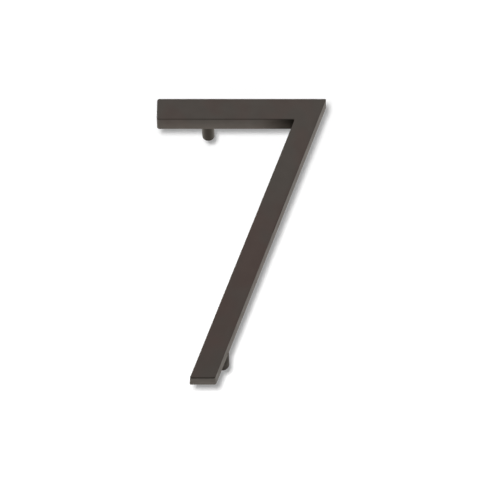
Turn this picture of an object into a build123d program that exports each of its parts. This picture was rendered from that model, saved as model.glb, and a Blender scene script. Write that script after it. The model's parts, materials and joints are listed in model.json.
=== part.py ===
from build123d import *
from math import atan, degrees, radians, tan
import os

# House number seven: a one-piece metal casting that floats in front of a wall on two round posts.
# The bar and the slanted stroke are one flat-faced band. The sides widen towards the back, as a
# casting's do to leave its mould, and the edges round the face are softened. Each post is cast on the
# back and has a blind hole in its wall end for a threaded wall stud.
#
# Millimetres. +X is the reader's right, +Z is up and +Y points into the wall.
# The origin is the centre of the upper post's wall end, so the wall is the plane Y = 0.

# Face outline, measured on the front face
face_height = 139.7          # foot to top of the bar
face_width = 81.8            # left end of the bar to the corner at its right
bar_height = 11.2
foot_width = 11.3            # flat end of the slanted stroke
foot_inset = 17.8            # left end of the bar to the left corner of the foot, sideways

# Section
band_depth = 9.525           # front face to back face
draft_angle = 2.5            # the sides' lean, in degrees, so that the back is the larger outline
face_edge_radius = 0.45      # rounding round the front face
corner_radius = 1.2          # the square and blunt outer corners
sharp_corner_radius = 0.5    # the two pointed ones, where bar and stroke meet and at the foot's left
inner_corner_radius = 0.4    # where the underside of the bar meets the stroke
back_edge_radius = 0.2

# Posts
post_length = 19.05          # back face to wall
post_wall = 1.075            # metal round the stud hole
post_root_depth = 1.0        # how far each post is let into the band
post_rim_radius = 0.2
upper_post_inset = 24.1      # left end of the bar to the upper post, sideways
lower_post_height = 14.9     # above the foot
lower_post_offset = 2.85     # sideways from the middle of the stroke, towards its right edge

# Stud holes, drilled and tapped in the posts' wall ends
thread_diameter = 4.2        # root of a number 8 thread, 32 turns to the inch
hole_depth = 14.0            # mouth to the end of the straight wall
hole_mouth_chamfer = 0.25
drill_point_angle = 118.0

# Where things are, worked out from the sizes above
projection = post_length + band_depth
left = -upper_post_inset
right = left + face_width
top = bar_height / 2
bottom = top - face_height
bar_underside = top - bar_height
foot_left = left + foot_inset
foot_right = foot_left + foot_width
slant = (right - foot_right) / face_height
inner_corner = foot_left + slant * (bar_underside - bottom)

thread_radius = thread_diameter / 2
post_radius = thread_radius + post_wall
stroke_middle = (foot_left + foot_right) / 2 + slant * lower_post_height
lower_post = (stroke_middle + lower_post_offset, bottom + lower_post_height)
post_centres = [(0, 0), lower_post]

# The rounding round the face has to turn at the pointed corners
edge_radius = min(face_edge_radius, 0.9 * sharp_corner_radius)

# The rim's rounding and the hole's chamfer share the end of one thin wall
rim_radius = min(post_rim_radius, 0.45 * post_wall)
mouth_chamfer = min(hole_mouth_chamfer, 0.3 * post_wall)
drill_point_depth = thread_radius / tan(radians(drill_point_angle / 2))

face_plane = Plane.XZ.offset(projection)
wall_plane = Plane.XZ


def corner_edges(part):
    """The edges that run from front to back, with those at the inner corner first."""
    faces = part.faces().sort_by(Axis.Y)
    edges = part.edges() - faces[0].edges() - faces[-1].edges()
    return edges.sort_by_distance((inner_corner, -post_length - band_depth / 2, bar_underside))


with BuildPart() as numeral:
    # The band: the face outline, carried back with its draft
    with BuildSketch(face_plane):
        with BuildLine():
            Polyline(
                (left, top),
                (right, top),
                (foot_right, bottom),
                (foot_left, bottom),
                (inner_corner, bar_underside),
                (left, bar_underside),
                close=True,
            )
        make_face()
    extrude(amount=-band_depth, taper=-draft_angle)

    # Corners, in order of their distance from the inner one: a fillet puts two edges in place of one
    fillet(corner_edges(numeral)[0], inner_corner_radius)
    fillet(corner_edges(numeral)[3:6], corner_radius)
    pointed = corner_edges(numeral)
    fillet([pointed[2], pointed[-1]], sharp_corner_radius)

    # Edges round the two flat faces
    front_face = numeral.faces().sort_by(Axis.Y)[0]
    fillet(front_face.edges(), edge_radius)
    back_face = numeral.faces().sort_by(Axis.Y)[-1]
    fillet(back_face.edges(), back_edge_radius)

    # Posts, let into the band so that they are one casting with it
    with BuildSketch(wall_plane):
        with Locations(*post_centres):
            Circle(post_radius)
    extrude(amount=post_length + post_root_depth)
    wall_ends = numeral.faces().filter_by(Axis.Y).group_by(Axis.Y)[-1]
    fillet(wall_ends.edges(), rim_radius)

    # Stud holes: the drill's own outline, turned about each post's middle line
    for x, z in post_centres:
        with BuildSketch(Plane(origin=(x, 0, z))):
            with BuildLine():
                Polyline(
                    (0, 0),
                    (thread_radius + mouth_chamfer, 0),
                    (thread_radius, -mouth_chamfer),
                    (thread_radius, -hole_depth),
                    (0, -hole_depth - drill_point_depth),
                    close=True,
                )
            make_face()
        revolve(axis=Axis((x, 0, z), (0, 1, 0)), mode=Mode.SUBTRACT)

numeral.part.label = "numeral"

os.makedirs("parts", exist_ok=True)
export_step(numeral.part, "parts/numeral.step")

print("slant of the stroke, degrees:", round(degrees(atan(slant)), 2))
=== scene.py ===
# %% [markdown]
# # A floating house number seven in dark bronze
#
# The solid numeral comes from the CAD frame: a flat bar, a slanted stroke and two round posts that
# hold it off the wall. This lesson gives it its finish, puts the threads in its posts, and sets up
# the camera, the wall and the light. Everything is in metres, so sizes that are easier to think of
# in millimetres are written in millimetres and multiplied by MM.

# %% Load the frame
import bpy
import bmesh
import json
import math
from mathutils import Matrix, Vector


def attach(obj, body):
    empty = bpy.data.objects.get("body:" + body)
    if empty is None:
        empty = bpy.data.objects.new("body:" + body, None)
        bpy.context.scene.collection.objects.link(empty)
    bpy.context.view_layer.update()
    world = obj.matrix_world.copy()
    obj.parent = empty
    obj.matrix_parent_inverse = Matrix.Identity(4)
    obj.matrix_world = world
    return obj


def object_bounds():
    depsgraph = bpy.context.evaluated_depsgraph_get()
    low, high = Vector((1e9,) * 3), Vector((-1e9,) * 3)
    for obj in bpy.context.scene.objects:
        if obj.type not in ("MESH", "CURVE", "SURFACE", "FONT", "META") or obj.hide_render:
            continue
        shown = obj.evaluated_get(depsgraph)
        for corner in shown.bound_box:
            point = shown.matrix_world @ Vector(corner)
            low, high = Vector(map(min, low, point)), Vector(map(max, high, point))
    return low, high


MM = 0.001

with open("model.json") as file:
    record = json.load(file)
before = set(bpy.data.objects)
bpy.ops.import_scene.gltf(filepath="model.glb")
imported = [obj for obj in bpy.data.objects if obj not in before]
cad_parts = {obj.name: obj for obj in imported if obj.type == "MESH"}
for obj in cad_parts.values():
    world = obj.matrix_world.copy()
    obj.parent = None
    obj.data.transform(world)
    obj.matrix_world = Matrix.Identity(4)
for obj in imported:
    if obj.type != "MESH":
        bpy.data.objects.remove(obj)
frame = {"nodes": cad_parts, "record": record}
numeral = frame["nodes"]["numeral"]
cad_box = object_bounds()
print("numeral faces:", len(numeral.data.polygons))
print("numeral size, mm:", [round((high - low) / MM, 2) for low, high in zip(*cad_box)])

# %% [markdown]
# ## Where things are
#
# The origin is the centre of the upper post where it meets the wall, and +Y points into the wall.
# So every depth is a negative Y: the flat face is furthest forward, and the posts start at the
# band's back. The upper post stands halfway up the bar, so the bar reaches as far above 0 as below.
#
# A finish that depends on a place can read these numbers instead of guessing them. Some come from
# the frame itself: the box of the CAD model gives the face's depth, and the record that comes with
# it lists the two stud holes, with their places and their radius.

# %% Name the depths and corners
FACE_WIDTH = 81.8 * MM
FACE_HEIGHT = 139.7 * MM
BAR_HEIGHT = 11.2 * MM

FACE_Y = cad_box[0].y
BAND_BACK_Y = -19.05 * MM
LEFT_X = -24.1 * MM
TOP_Z = BAR_HEIGHT / 2
FOOT_Z = TOP_Z - FACE_HEIGHT
FACE_CENTRE = Vector((LEFT_X + FACE_WIDTH / 2, FACE_Y, (TOP_Z + FOOT_Z) / 2))
INNER_CORNER = Vector((42.0 * MM, 0, TOP_Z - BAR_HEIGHT))
STUD_HOLES = [mount for mount in frame["record"]["mounts"] if mount["kind"] == "threaded_hole"]
print("band depth, mm:", round((BAND_BACK_Y - FACE_Y) / MM, 3))
print("stud holes:", [hole["name"] for hole in STUD_HOLES])

# %% [markdown]
# ## The camera
#
# The photograph shows the underside of the bar and the end of the foot, so the camera stands below
# the number and looks up at it. It could be slid about by hand until the picture looks right, but a
# wrong distance and a wrong lens hide each other. So it was worked out: the edges of the bar and
# stroke give the angle, and the way that the sides close in gives the distance. A camera in Blender
# looks along its own -Z, so a quarter turn about X makes it level, and the pitch is added to that.

# %% Set up the camera
PITCH = math.radians(21.504)
DISTANCE = 617.03 * MM
AIM_RIGHT = 1.559 * MM
AIM_DOWN = 5.768 * MM

# Blender takes the sensor and the lens in millimetres as they are
SENSOR_WIDTH = 36
LENS = 97.657

right = Vector((1, 0, 0))
forward = Vector((0, math.cos(PITCH), math.sin(PITCH)))
up = Vector((0, -math.sin(PITCH), math.cos(PITCH)))
aim = FACE_CENTRE + AIM_RIGHT * right - AIM_DOWN * up

camera_data = bpy.data.cameras.new("photo_camera")
camera_data.sensor_width = SENSOR_WIDTH
camera_data.lens = LENS
camera = bpy.data.objects.new("photo_camera", camera_data)
camera.location = aim - DISTANCE * forward
camera.rotation_euler = (math.radians(90) + PITCH, 0, 0)
bpy.context.scene.collection.objects.link(camera)
bpy.context.scene.camera = camera
print("camera at, mm:", [round(v / MM, 1) for v in camera.location])

# %% [markdown]
# ## Two small helpers
#
# Colours are picked on a screen, as sRGB hex codes, but a renderer adds up light, so each channel
# is turned to its linear value first. And every material here is a little network of nodes, so one
# function adds a node, sets it up and plugs in whatever it is given: a number is written on the
# socket, and another node's output is linked to it.

# %% Colour and node helpers
def linear(hex_code):
    """The linear colour of an sRGB code such as #514D49."""
    channels = [int(hex_code[i:i + 2], 16) / 255 for i in (1, 3, 5)]
    return [c / 12.92 if c <= 0.04045 else ((c + 0.055) / 1.055) ** 2.4 for c in channels] + [1]


def add_node(tree, kind, inputs, **settings):
    """Add a node, set it up, and give its inputs their values or links."""
    node = tree.nodes.new("ShaderNode" + kind)
    for name, value in settings.items():
        setattr(node, name, value)
    for key, value in inputs.items():
        if isinstance(value, bpy.types.NodeSocket):
            tree.links.new(value, node.inputs[key])
        else:
            node.inputs[key].default_value = value
    return node


print("middle grey #808080 is", round(linear("#808080")[0], 3), "in linear light")

# %% [markdown]
# ## The finish: dark bronze, with painted shade
#
# The real finish is an architectural dark bronze on a zinc casting, under a satin lacquer. That
# tells us what to draw:
#
# - it is a metal, so it has no diffuse colour, only dark brown reflections
# - the brown drifts between a neutral one and a redder one
# - black is painted where shade falls: on the posts under the band, in a thin line under the face's
#   lower edges, on the sides towards the foot, and in the inner corner
# - the rounding of the face's edge gets the most brushing, so it is a little paler, and the
#   undersides get a painted reflection of the wall that grows paler towards the back
#
# This could be painted by hand on an unwrapped picture of the numeral. Here each of these is a mask
# from 0 to 1, worked out from Object coordinates, which are the same metres as the CAD: it needs no
# unwrapping, it is as sharp close up as it is from afar, and a size in it is a real size. The masks
# mix four colours.

# %% Start the bronze
bronze = bpy.data.materials.new("dark_bronze_satin")
bronze.use_nodes = True
tree = bronze.node_tree
surface = tree.nodes["Principled BSDF"]
coordinates = add_node(tree, "TexCoord", {})
place = coordinates.outputs["Object"]
xyz = add_node(tree, "SeparateXYZ", {0: place})
facing = add_node(tree, "SeparateXYZ", {0: coordinates.outputs["Normal"]})
print("the bronze starts as a", surface.bl_label)

# %% [markdown]
# ### The brown and its drift
#
# A patina never comes out even. Two browns of nearly the same depth are mixed, first by height and
# then by soft clouds about 14 mm across. The height goes through a Color Ramp, which holds a grey
# value for each of a few places and blends between them: here 0 is the top of the bar, 1 is the
# foot, and the lower part of the stroke is the reddest.
#
# A noise texture's scale is how many clouds fit in one unit, so it is one over the size in metres.
# Its values stay near one half, so the ramp after it stretches the middle part of them.

# %% Let the brown drift with the height
RED_BY_HEIGHT = [(0.0, 0.15), (0.3, 0.35), (0.45, 0.6), (0.84, 0.7), (0.95, 0.4)]

height = add_node(
    tree, "MapRange", {"Value": xyz.outputs["Z"], "From Min": TOP_Z, "From Max": FOOT_Z}
)
drift = add_node(tree, "ValToRGB", {0: height.outputs[0]})
drift.color_ramp.interpolation = "EASE"
while len(drift.color_ramp.elements) < len(RED_BY_HEIGHT):
    drift.color_ramp.elements.new(1.0)
for element, (position, grey) in zip(drift.color_ramp.elements, RED_BY_HEIGHT):
    element.position = position
    element.color = (grey, grey, grey, 1)
print("the brown drifts over", len(RED_BY_HEIGHT), "heights")

# %% Add the clouds and mix the two browns
CLOUD_SIZE = 14 * MM
CLOUD_DRIFT = 0.3
BROWN = "#504B47"
REDDER_BROWN = "#524743"

clouds = add_node(tree, "TexNoise", {"Vector": place, "Scale": 1 / CLOUD_SIZE, "Detail": 1.0})
cloud_drift = add_node(
    tree, "MapRange",
    {"Value": clouds.outputs["Fac"], "From Min": 0.36, "From Max": 0.64,
     "To Min": -CLOUD_DRIFT, "To Max": CLOUD_DRIFT},
    interpolation_type="SMOOTHSTEP",
)
redness = add_node(
    tree, "Math", {0: drift.outputs[0], 1: cloud_drift.outputs[0]}, operation="ADD", use_clamp=True
)

# In a colour Mix node, the factor is input 0 and the two colours are inputs 6 and 7
brown = add_node(
    tree, "Mix",
    {0: redness.outputs[0], 6: linear(BROWN), 7: linear(REDDER_BROWN)},
    data_type="RGBA",
)
print("clouds per metre:", round(1 / CLOUD_SIZE))

# %% [markdown]
# ### Painted shade: the posts
#
# The posts sit in the shade under the band, and that shade is painted on them as black all along,
# so their mask is a short ramp in Y that begins at the band's back.

# %% Mask the posts
BLACK_COMES_IN = 0.75 * MM

behind = add_node(
    tree, "MapRange",
    {"Value": xyz.outputs["Y"], "From Min": BAND_BACK_Y, "From Max": BAND_BACK_Y + BLACK_COMES_IN},
    interpolation_type="SMOOTHSTEP",
)
print("the posts are black from", BLACK_COMES_IN / MM, "mm behind the band")

# %% [markdown]
# ### Painted shade: under the face's lower edges
#
# Along the bar and at the foot, a thin black line of painted shade lies just behind the rounding. A
# second Color Ramp draws it over the depth behind the face, and the surface's own normal keeps it
# to the sides that look down. It is faint along the bar and strong at the foot, and down there the
# other sides get some painted shade too, so both are multiplied by a ramp over the height.

# %% Mask the line under the edges
DEPTH_DRAWN = 8 * MM
LINE_BY_DEPTH = [(0.02, 0.0), (0.12, 1.0), (1.1, 0.85), (2.0, 0.2), (5.0, 0.0)]
LINE_AT_TOP = 0.05
LINE_AT_FOOT = 1.0

depth = add_node(
    tree, "MapRange",
    {"Value": xyz.outputs["Y"], "From Min": FACE_Y, "From Max": FACE_Y + DEPTH_DRAWN},
)
line = add_node(tree, "ValToRGB", {0: depth.outputs[0]})
line.color_ramp.interpolation = "EASE"
while len(line.color_ramp.elements) < len(LINE_BY_DEPTH):
    line.color_ramp.elements.new(1.0)
for element, (millimetres, grey) in zip(line.color_ramp.elements, LINE_BY_DEPTH):
    element.position = millimetres * MM / DEPTH_DRAWN
    element.color = (grey, grey, grey, 1)

line_strength = add_node(
    tree, "MapRange", {"Value": height.outputs[0], "To Min": LINE_AT_TOP, "To Max": LINE_AT_FOOT}
)

# A normal's Z is 0 on an upright side and -1 on one that looks straight down
looks_down = add_node(
    tree, "MapRange",
    {"Value": facing.outputs["Z"], "From Min": -0.25, "From Max": -0.7},
    interpolation_type="SMOOTHSTEP",
)
line_below = add_node(
    tree, "Math", {0: line.outputs[0], 1: looks_down.outputs[0]}, operation="MULTIPLY"
)
edge_shade_line = add_node(
    tree, "Math", {0: line_below.outputs[0], 1: line_strength.outputs[0]}, operation="MULTIPLY"
)
print("strength of the line, top and foot:", LINE_AT_TOP, LINE_AT_FOOT)

# %% Mask the painted shade towards the foot
# Painted shade: every side behind the face grows darker towards the foot
SIDES_START = 0.05 * MM
SIDES_FULL = 0.6 * MM
SHADE_STARTS = 0.2
SHADE_AT_FOOT = 0.4

off_the_face = add_node(
    tree, "MapRange",
    {"Value": xyz.outputs["Y"], "From Min": FACE_Y + SIDES_START, "From Max": FACE_Y + SIDES_FULL},
    interpolation_type="SMOOTHSTEP",
)
shade_strength = add_node(
    tree, "MapRange", {"Value": height.outputs[0], "From Min": SHADE_STARTS, "To Max": SHADE_AT_FOOT}
)
side_shade = add_node(
    tree, "Math", {0: off_the_face.outputs[0], 1: shade_strength.outputs[0]}, operation="MULTIPLY"
)
print("shade on the sides at the foot:", SHADE_AT_FOOT)

# %% [markdown]
# ### Painted shade: the inner corner
#
# The bar and the stroke meet there at a sharp angle and shade each other, and that shade is painted
# in as black. The mask fades with the distance from the corner's edge, which runs straight back, so
# only X and Z count. It is kept to the two sides that look into the corner, whose normals point down
# or to the left. The flat face gets none of it, so the mask starts just behind the face.

# %% Mask the inner corner
BRUSH_REACH = 22 * MM

# INNER_CORNER has a Y of 0, as every flat place has, so the distance leaves the depth out
flat_place = add_node(tree, "CombineXYZ", {"X": xyz.outputs["X"], "Z": xyz.outputs["Z"]})
from_corner = add_node(
    tree, "VectorMath", {0: flat_place.outputs[0], 1: INNER_CORNER}, operation="DISTANCE"
)
near_corner = add_node(
    tree, "MapRange",
    {"Value": from_corner.outputs["Value"], "From Max": BRUSH_REACH, "To Min": 1.0, "To Max": 0.0},
    interpolation_type="SMOOTHSTEP",
)

# A normal's X is below 0 on a side that looks left, as its Z is on one that looks down
left_or_down = add_node(
    tree, "Math", {0: facing.outputs["X"], 1: facing.outputs["Z"]}, operation="ADD"
)
looks_in = add_node(
    tree, "MapRange", {"Value": left_or_down.outputs[0], "From Min": 0.2, "From Max": -0.2}
)
corner_side = add_node(
    tree, "Math", {0: near_corner.outputs[0], 1: looks_in.outputs[0]}, operation="MULTIPLY"
)
in_corner = add_node(
    tree, "Math", {0: corner_side.outputs[0], 1: off_the_face.outputs[0]}, operation="MULTIPLY"
)
print("the black fades out", BRUSH_REACH / MM, "mm from the inner corner")

# %% [markdown]
# ### Putting the painted shade on
#
# All the black is painted shade. Adding masks up would make them darker than black where they meet,
# so the largest one holds.

# %% Join the masks and mix in the black of the painted shade
# The colour of all the painted shade
BLACK = "#251F1B"

painted_shade_mask = behind
for mask in (edge_shade_line, side_shade, in_corner):
    painted_shade_mask = add_node(
        tree, "Math", {0: painted_shade_mask.outputs[0], 1: mask.outputs[0]}, operation="MAXIMUM"
    )

brown_and_black = add_node(
    tree, "Mix",
    {0: painted_shade_mask.outputs[0], 6: brown.outputs[2], 7: linear(BLACK)},
    data_type="RGBA",
)
print("masks joined, nodes so far:", len(tree.nodes))

# %% [markdown]
# ### The paler places
#
# The face ends in a rounding of 0.45 mm, and a brush bears hardest there. The rounding is the only
# surface between the face and 0.45 mm behind it, so two ramps in Y pick out its front: one comes in
# just behind the face, and the other goes out as the black line comes in.
#
# The sides that look down get a painted reflection of the wall, which grows a little paler towards
# the back. That mask is a ramp over the rear part of the band's depth, times how much a surface
# looks down, and it gives way to the painted shade where they meet.

# %% Mask the rounding's front
EDGE_PALING = 0.2
PALE_FULL = 0.02 * MM
PALE_FADES = 0.06 * MM
PALE_GONE = 0.13 * MM

edge_start = add_node(
    tree, "MapRange",
    {"Value": xyz.outputs["Y"], "From Min": FACE_Y, "From Max": FACE_Y + PALE_FULL},
)
edge_end = add_node(
    tree, "MapRange",
    {"Value": xyz.outputs["Y"], "From Min": FACE_Y + PALE_FADES, "From Max": FACE_Y + PALE_GONE,
     "To Min": EDGE_PALING, "To Max": 0.0},
)
edge_mask = add_node(
    tree, "Math", {0: edge_start.outputs[0], 1: edge_end.outputs[0]}, operation="MULTIPLY"
)
print("paling of the rounded edges:", EDGE_PALING)

# %% Mask the painted reflection on the undersides and mix in the pale bronze
# The pale bronze serves both the worn edge and the painted reflection on the undersides
UNDERSIDE_PALING = 0.5
REAR_PART_STARTS = 3 * MM
PALE_BRONZE = "#6B645E"

towards_back = add_node(
    tree, "MapRange",
    {"Value": xyz.outputs["Y"], "From Min": FACE_Y + REAR_PART_STARTS, "From Max": BAND_BACK_Y},
)
deep_below = add_node(
    tree, "Math", {0: towards_back.outputs[0], 1: looks_down.outputs[0]}, operation="MULTIPLY"
)
not_black = add_node(
    tree, "MapRange", {"Value": painted_shade_mask.outputs[0], "To Min": UNDERSIDE_PALING, "To Max": 0.0}
)
underside_reflection_mask = add_node(
    tree, "Math", {0: deep_below.outputs[0], 1: not_black.outputs[0]}, operation="MULTIPLY"
)
wear_and_reflection_mask = add_node(
    tree, "Math", {0: edge_mask.outputs[0], 1: underside_reflection_mask.outputs[0]}, operation="MAXIMUM"
)
finish_colour = add_node(
    tree, "Mix",
    {0: wear_and_reflection_mask.outputs[0], 6: brown_and_black.outputs[2], 7: linear(PALE_BRONZE)},
    data_type="RGBA",
)
tree.links.new(finish_colour.outputs[2], surface.inputs["Base Color"])
print("paling of the undersides:", UNDERSIDE_PALING)

# %% [markdown]
# ### The grain of the lacquer
#
# The lacquer is laid on in fine drops, which leave a grain of about 0.1 mm. It could be real bumps
# in the mesh, but those would be millions of faces, so a Bump node tilts the shading instead. One
# pixel covers nearly half a millimetre here, so the grain is drawn 0.6 mm across, or it wouldn't
# show at all, and kept very shallow.

# %% Add the grain
GRAIN_SIZE = 0.6 * MM
GRAIN_DEPTH = 0.012 * MM
GRAIN_STRENGTH = 0.6

grain = add_node(tree, "TexNoise", {"Vector": place, "Scale": 1 / GRAIN_SIZE, "Detail": 2.0})
bump = add_node(
    tree, "Bump",
    {"Height": grain.outputs["Fac"], "Distance": GRAIN_DEPTH, "Strength": GRAIN_STRENGTH},
)
tree.links.new(bump.outputs["Normal"], surface.inputs["Normal"])
print("grain drawn at, mm:", GRAIN_SIZE / MM)

# %% [markdown]
# ### The satin gloss
#
# Satin is a matter of roughness: at about 0.4 a metal still has a soft sheen but shows no picture
# of its surroundings. The lacquer makes it vary a little, in patches.
#
# Where the brush doesn't reach, the surface keeps its roughness from the mould. In the inner corner
# it is about a third rougher than the rest, so that nothing shines in there. On the posts it was
# matched to the photograph by height: the upper one is smoother than the face, which gives its
# sides their pale rims, and the lower one is rougher.

# %% Set the roughness
SHEEN_PATCH = 5 * MM
SATIN_ROUGHNESS = (0.38, 0.44)
CORNER_ROUGHER = 0.35
POSTS_ROUGHER = (0.75, 1.5)

patches = add_node(tree, "TexNoise", {"Vector": place, "Scale": 1 / SHEEN_PATCH, "Detail": 2.0})
sheen = add_node(
    tree, "MapRange",
    {"Value": patches.outputs["Fac"], "From Min": 0.3, "From Max": 0.7,
     "To Min": SATIN_ROUGHNESS[0], "To Max": SATIN_ROUGHNESS[1]},
    interpolation_type="SMOOTHSTEP",
)
rough_corner = add_node(
    tree, "Math", {0: in_corner.outputs[0], 1: CORNER_ROUGHER, 2: 1.0}, operation="MULTIPLY_ADD"
)
rough_posts = add_node(
    tree, "MapRange",
    {"Value": height.outputs[0], "To Min": POSTS_ROUGHER[0], "To Max": POSTS_ROUGHER[1]},
)

# In a number Mix node, the factor is input 0 and the two numbers are inputs 2 and 3
as_cast = add_node(
    tree, "Mix", {0: behind.outputs[0], 2: rough_corner.outputs[0], 3: rough_posts.outputs[0]}
)
roughness = add_node(
    tree, "Math", {0: sheen.outputs[0], 1: as_cast.outputs[0]}, operation="MULTIPLY"
)
tree.links.new(roughness.outputs[0], surface.inputs["Roughness"])
print("roughness of the satin:", SATIN_ROUGHNESS)

# %% [markdown]
# ### A metal under lacquer
#
# A bare metal turns into a mirror when it is seen at a glancing angle. Lacquer softens that, and
# the metal's edge tint, which Blender calls Specular Tint, says by how much. It is slightly warm,
# as the stroke's right side is in the photograph. It is the same all over, as being a metal is, so
# both go straight on their sockets.

# %% Make it a metal and put it on
GLANCING_TINT = (0.81, 0.785, 0.745, 1)

surface.inputs["Metallic"].default_value = 1.0
surface.inputs["Specular Tint"].default_value = GLANCING_TINT
for slot in numeral.material_slots:
    slot.material = bronze
print("bronze on", len(numeral.material_slots), "slot with", len(tree.nodes), "nodes")

# %% [markdown]
# ## The threads in the posts
#
# Each post has a blind hole in its wall end, and a number 8 stud with 32 turns to the inch screws
# into it. The CAD hole is plain, at the radius of the thread's roots, so the ridges are added here.
# A screw thread is one small profile carried round an axis while it moves along it. That is what
# the spin operator does when it is given a shift for each step. A Screw modifier would wind it just
# as well, but spin leaves a mesh whose points can be moved at once, which the thread's ends need.
#
# The profile is four points: two sunk a hair into the hole's wall, so that no gap shows, and two on
# the crest. Spinning a face leaves a cap at each end, so the ridge is a closed solid. At both ends
# a real thread runs out, so there the crest is pressed back towards the wall over half a turn.

# %% Name the thread's sizes
PITCH_OF_THREAD = 25.4 / 32 * MM
CREST_RADIUS = 1.73 * MM
SUNK = 0.03 * MM
ROOT_WIDTH = 0.76 * PITCH_OF_THREAD
CREST_WIDTH = 0.2 * PITCH_OF_THREAD
MOUTH_GAP = 0.55 * MM
TURNS = 16
STEPS = 32
RUN_OUT_STEPS = STEPS / 2
LEAST_HEIGHT = 0.02
print("length of the thread, mm:", round(TURNS * PITCH_OF_THREAD / MM, 2))


# %% Spin one thread ridge
def thread_ridge(name, x, z, root_radius):
    """A closed right-handed ridge whose middle line is at x and z, with its roots at root_radius."""
    bm = bmesh.new()
    deep_end = -MOUTH_GAP - TURNS * PITCH_OF_THREAD
    profile = [
        (root_radius, -ROOT_WIDTH / 2),
        (CREST_RADIUS, -CREST_WIDTH / 2),
        (CREST_RADIUS, CREST_WIDTH / 2),
        (root_radius, ROOT_WIDTH / 2),
    ]
    corners = [bm.verts.new((x + radius, deep_end + along, z)) for radius, along in profile]
    start = bm.faces.new(corners)
    bmesh.ops.spin(
        bm,
        geom=[start] + list(start.edges) + corners,
        cent=(x, 0, z),
        axis=(0, 1, 0),
        dvec=(0, PITCH_OF_THREAD / STEPS, 0),
        angle=math.tau * TURNS,
        steps=TURNS * STEPS,
        use_merge=False,
    )

    # The points come in fours, one four for each step, so a point's place in the list tells how far
    # along the ridge it is. LEAST_HEIGHT of the ridge is kept at its ends, so that no face closes up.
    last = len(bm.verts) // 4 - 1
    for number, vert in enumerate(bm.verts):
        step = number // 4
        run_out = min(1.0, step / RUN_OUT_STEPS, (last - step) / RUN_OUT_STEPS)
        spoke = Vector((vert.co.x - x, 0, vert.co.z - z))
        ridge_height = root_radius - spoke.length
        radius = root_radius - ridge_height * max(run_out, LEAST_HEIGHT)
        vert.co = Vector((x, vert.co.y, z)) + spoke.normalized() * radius

    bmesh.ops.recalc_face_normals(bm, faces=bm.faces)
    open_edges = sum(len(edge.link_faces) != 2 for edge in bm.edges)
    bm.verts.ensure_lookup_table()
    drop = z - bm.verts[4].co.z
    mesh = bpy.data.meshes.new(name)
    bm.to_mesh(mesh)
    bm.free()
    mesh.materials.append(bronze)
    ridge = bpy.data.objects.new(name, mesh)
    bpy.context.scene.collection.objects.link(ridge)
    print(name, "faces:", len(mesh.polygons), "open edges:", open_edges, "right-handed:", drop > 0)
    return ridge


# %% Put a thread in each post
for hole in STUD_HOLES:
    x, _, z = hole["pos_m"]
    post = hole["name"].removesuffix("_stud_hole")
    ridge = thread_ridge("stud_thread_" + post, x, z, hole["dims"]["r_mm"] * MM + SUNK)
    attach(ridge, "root")

# %% [markdown]
# ## The wall
#
# The number floats in front of a plain white wall that takes its shadow. A wall is one square, and
# a grid with one cell makes it. It reaches far enough to fill the picture. It faces the camera, and
# is see through from the back, so that the number can also be looked at from behind.
#
# In the photograph the shadow of the post's wall end lies nearly as far off as the shadow of the
# band, so the wall there is well behind the posts: the number was photographed in front of a
# background, and not screwed to one.

# %% Build the wall
WALL_GAP = 90 * MM
WALL_REACH = 3.0

bm = bmesh.new()
bmesh.ops.create_grid(bm, x_segments=1, y_segments=1, size=WALL_REACH)
upright = Matrix.Rotation(math.radians(90), 3, "X")
bmesh.ops.rotate(bm, verts=bm.verts, cent=(0, 0, 0), matrix=upright)
bmesh.ops.translate(bm, verts=bm.verts, vec=(0, WALL_GAP, 0))
wall_mesh = bpy.data.meshes.new("white_wall")
bm.to_mesh(wall_mesh)
bm.free()
wall = bpy.data.objects.new("white_wall", wall_mesh)
bpy.context.scene.collection.objects.link(wall)
print("the wall faces", [round(v) for v in wall_mesh.polygons[0].normal])

# %% [markdown]
# ### The wall's paint
#
# White paint is a diffuse surface. The key lamp below stands close, and its light falls off to the
# sides. A second lamp would even that out, but it would fill the shadow too, so further out the wall
# gives some light of its own to the camera's rays. Near the number it gives none, and the shadow
# stays as it is.
#
# The metal's own reflections see the wall as plain white all over: in the photograph the two posts
# are equally dark, though one would mirror lit wall and the other one the shadow of the bar.

# %% Start the paint
WHITE_PAINT = "#F9F9F9"
GLOW_STARTS = 100 * MM
GLOW_FULL = 450 * MM

paint = bpy.data.materials.new("white_wall_paint")
paint.use_nodes = True
tree = paint.node_tree
tree.nodes.clear()

diffuse = add_node(tree, "BsdfDiffuse", {"Color": linear(WHITE_PAINT)})
wall_place = add_node(tree, "TexCoord", {}).outputs["Object"]
middle = Vector((FACE_CENTRE.x, WALL_GAP, FACE_CENTRE.z))
outward = add_node(tree, "VectorMath", {0: wall_place, 1: middle}, operation="DISTANCE")
far_out = add_node(
    tree, "MapRange",
    {"Value": outward.outputs["Value"], "From Min": GLOW_STARTS, "From Max": GLOW_FULL},
    interpolation_type="SMOOTHSTEP",
)
print("the wall's own light starts", GLOW_STARTS / MM, "mm from the middle")

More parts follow.
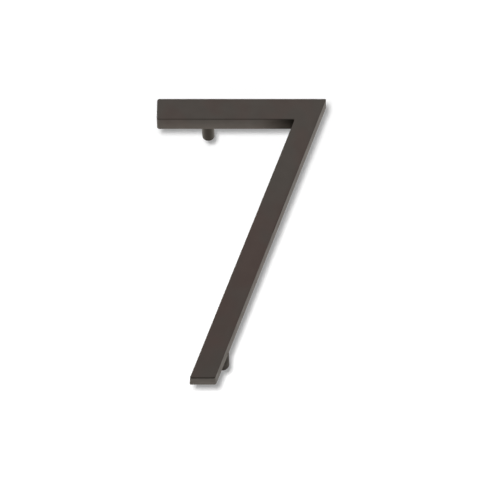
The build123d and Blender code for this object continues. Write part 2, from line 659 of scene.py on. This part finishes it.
# %% Choose what each kind of ray sees
rays = add_node(tree, "LightPath", {})
seen = add_node(
    tree, "Math",
    {0: rays.outputs["Is Camera Ray"], 1: rays.outputs["Is Transmission Ray"]},
    operation="MAXIMUM",
)
glow_strength = add_node(
    tree, "Math", {0: seen.outputs[0], 1: far_out.outputs[0]}, operation="MULTIPLY"
)
glow = add_node(tree, "Emission", {"Strength": glow_strength.outputs[0]})
lit_side = add_node(tree, "AddShader", {0: diffuse.outputs[0], 1: glow.outputs[0]})
plain_white = add_node(tree, "Emission", {"Strength": 1.0})
front_side = add_node(
    tree, "MixShader",
    {0: rays.outputs["Is Glossy Ray"], 1: lit_side.outputs[0], 2: plain_white.outputs[0]},
)
back_side = add_node(tree, "BsdfTransparent", {})
from_behind = add_node(tree, "NewGeometry", {}).outputs["Backfacing"]
either = add_node(
    tree, "MixShader", {0: from_behind, 1: front_side.outputs[0], 2: back_side.outputs[0]}
)
add_node(tree, "OutputMaterial", {"Surface": either.outputs[0]})
wall_mesh.materials.append(paint)
print("wall paint has", len(tree.nodes), "nodes")

# %% [markdown]
# ## The key lamp
#
# The shadow in the photograph is close and soft, and equally wide along the bar, the stroke and the
# foot. A lamp right beside the camera does that: here it stands a little above it and to its left,
# so the shadow slips out below and to the right. A nearer lamp would widen the shadow at the foot
# and narrow it along the bar, so it is as far off as the camera. How far the shadow slips and how
# wide its soft rim is were measured in the picture, for the middle of the band's depth, and they
# give the lamp's place and width as angles seen from the number.
#
# A lamp beside the camera would also draw a bright line on every edge that faces the camera, and
# the photograph has none, so the metal's reflections leave this lamp out. Its power is set by what
# it does: a white wall square to it, at that distance, should get KEY_SHARE of full white.

# %% Set up the key lamp
KEY_SHARE = 0.82
SHADOW_DOWN = 2.6 * MM
SHADOW_RIGHT = 2.1 * MM
SHADOW_RIM = 4.0 * MM

throw = WALL_GAP - (FACE_Y + BAND_BACK_Y) / 2
wall_distance = DISTANCE + WALL_GAP - FACE_Y
to_lamp = -forward + SHADOW_DOWN / throw * up - SHADOW_RIGHT / throw * right
key_data = bpy.data.lights.new("key_lamp", "AREA")
key_data.shape = "DISK"
key_data.size = DISTANCE * SHADOW_RIM / throw
key_data.energy = KEY_SHARE * math.pi ** 2 * wall_distance ** 2
key = bpy.data.objects.new("key_lamp", key_data)
key.location = aim + DISTANCE * to_lamp
key.rotation_mode = "QUATERNION"
key.rotation_quaternion = to_lamp.to_track_quat("Z", "Y")
key.visible_glossy = False
bpy.context.scene.collection.objects.link(key)
print("key lamp:", round(key_data.energy, 2), "W,", round(key_data.size / MM), "mm across")

# %% [markdown]
# ## The surroundings
#
# A metal shows nothing but what is around it, so the room matters as much as the lamp. A picture
# of a real room could be wrapped round the scene, but a satin metal blurs it to little more than
# light above and dark below. So the room is a ramp over the height of the ray's direction: a bright
# ceiling and upper walls, and a dimmer floor. Seen from below, the flat face mirrors the bright
# part above the camera, and the rounding under it mirrors the dim floor, which draws the darker
# line between the face and the underside of the bar.
#
# The paint of the wall gets the key lamp's light, which the metal doesn't, so for diffuse surfaces
# the room is dimmer. Together they come to a little over full white, so that the shadow's faint
# outer rim fades into white, as it does in the photograph. The camera sees plain white.

# %% Light the surroundings
FLOOR_LEVEL = 0.4
FLOOR_BELOW = -0.35
CEILING_LEVEL = 1.12
CEILING_ABOVE = 0.6
FILL_SHARE = 0.365
WHITE = linear("#FFFFFF")

world = bpy.data.worlds.new("studio_room")
bpy.context.scene.world = world
world.use_nodes = True
tree = world.node_tree
tree.nodes.clear()

# In a world, Generated coordinates are the direction that a ray goes in
direction = add_node(tree, "TexCoord", {}).outputs["Generated"]
upward = add_node(tree, "SeparateXYZ", {0: direction}).outputs["Z"]
room_level = add_node(
    tree, "MapRange",
    {"Value": upward, "From Min": FLOOR_BELOW, "From Max": CEILING_ABOVE,
     "To Min": FLOOR_LEVEL, "To Max": CEILING_LEVEL},
    interpolation_type="SMOOTHSTEP",
)
room = add_node(tree, "Background", {"Color": WHITE, "Strength": room_level.outputs[0]})
fill = add_node(tree, "Background", {"Color": WHITE, "Strength": FILL_SHARE})
backdrop = add_node(tree, "Background", {"Color": WHITE, "Strength": 1.0})

rays = add_node(tree, "LightPath", {})
lighting = add_node(
    tree, "MixShader", {0: rays.outputs["Is Diffuse Ray"], 1: room.outputs[0], 2: fill.outputs[0]}
)
all_rays = add_node(
    tree, "MixShader",
    {0: rays.outputs["Is Camera Ray"], 1: lighting.outputs[0], 2: backdrop.outputs[0]},
)
add_node(tree, "OutputWorld", {"Surface": all_rays.outputs[0]})
bpy.context.scene.view_settings.view_transform = "Standard"
print("room from", FLOOR_LEVEL, "to", CEILING_LEVEL, "with", FILL_SHARE, "of fill")
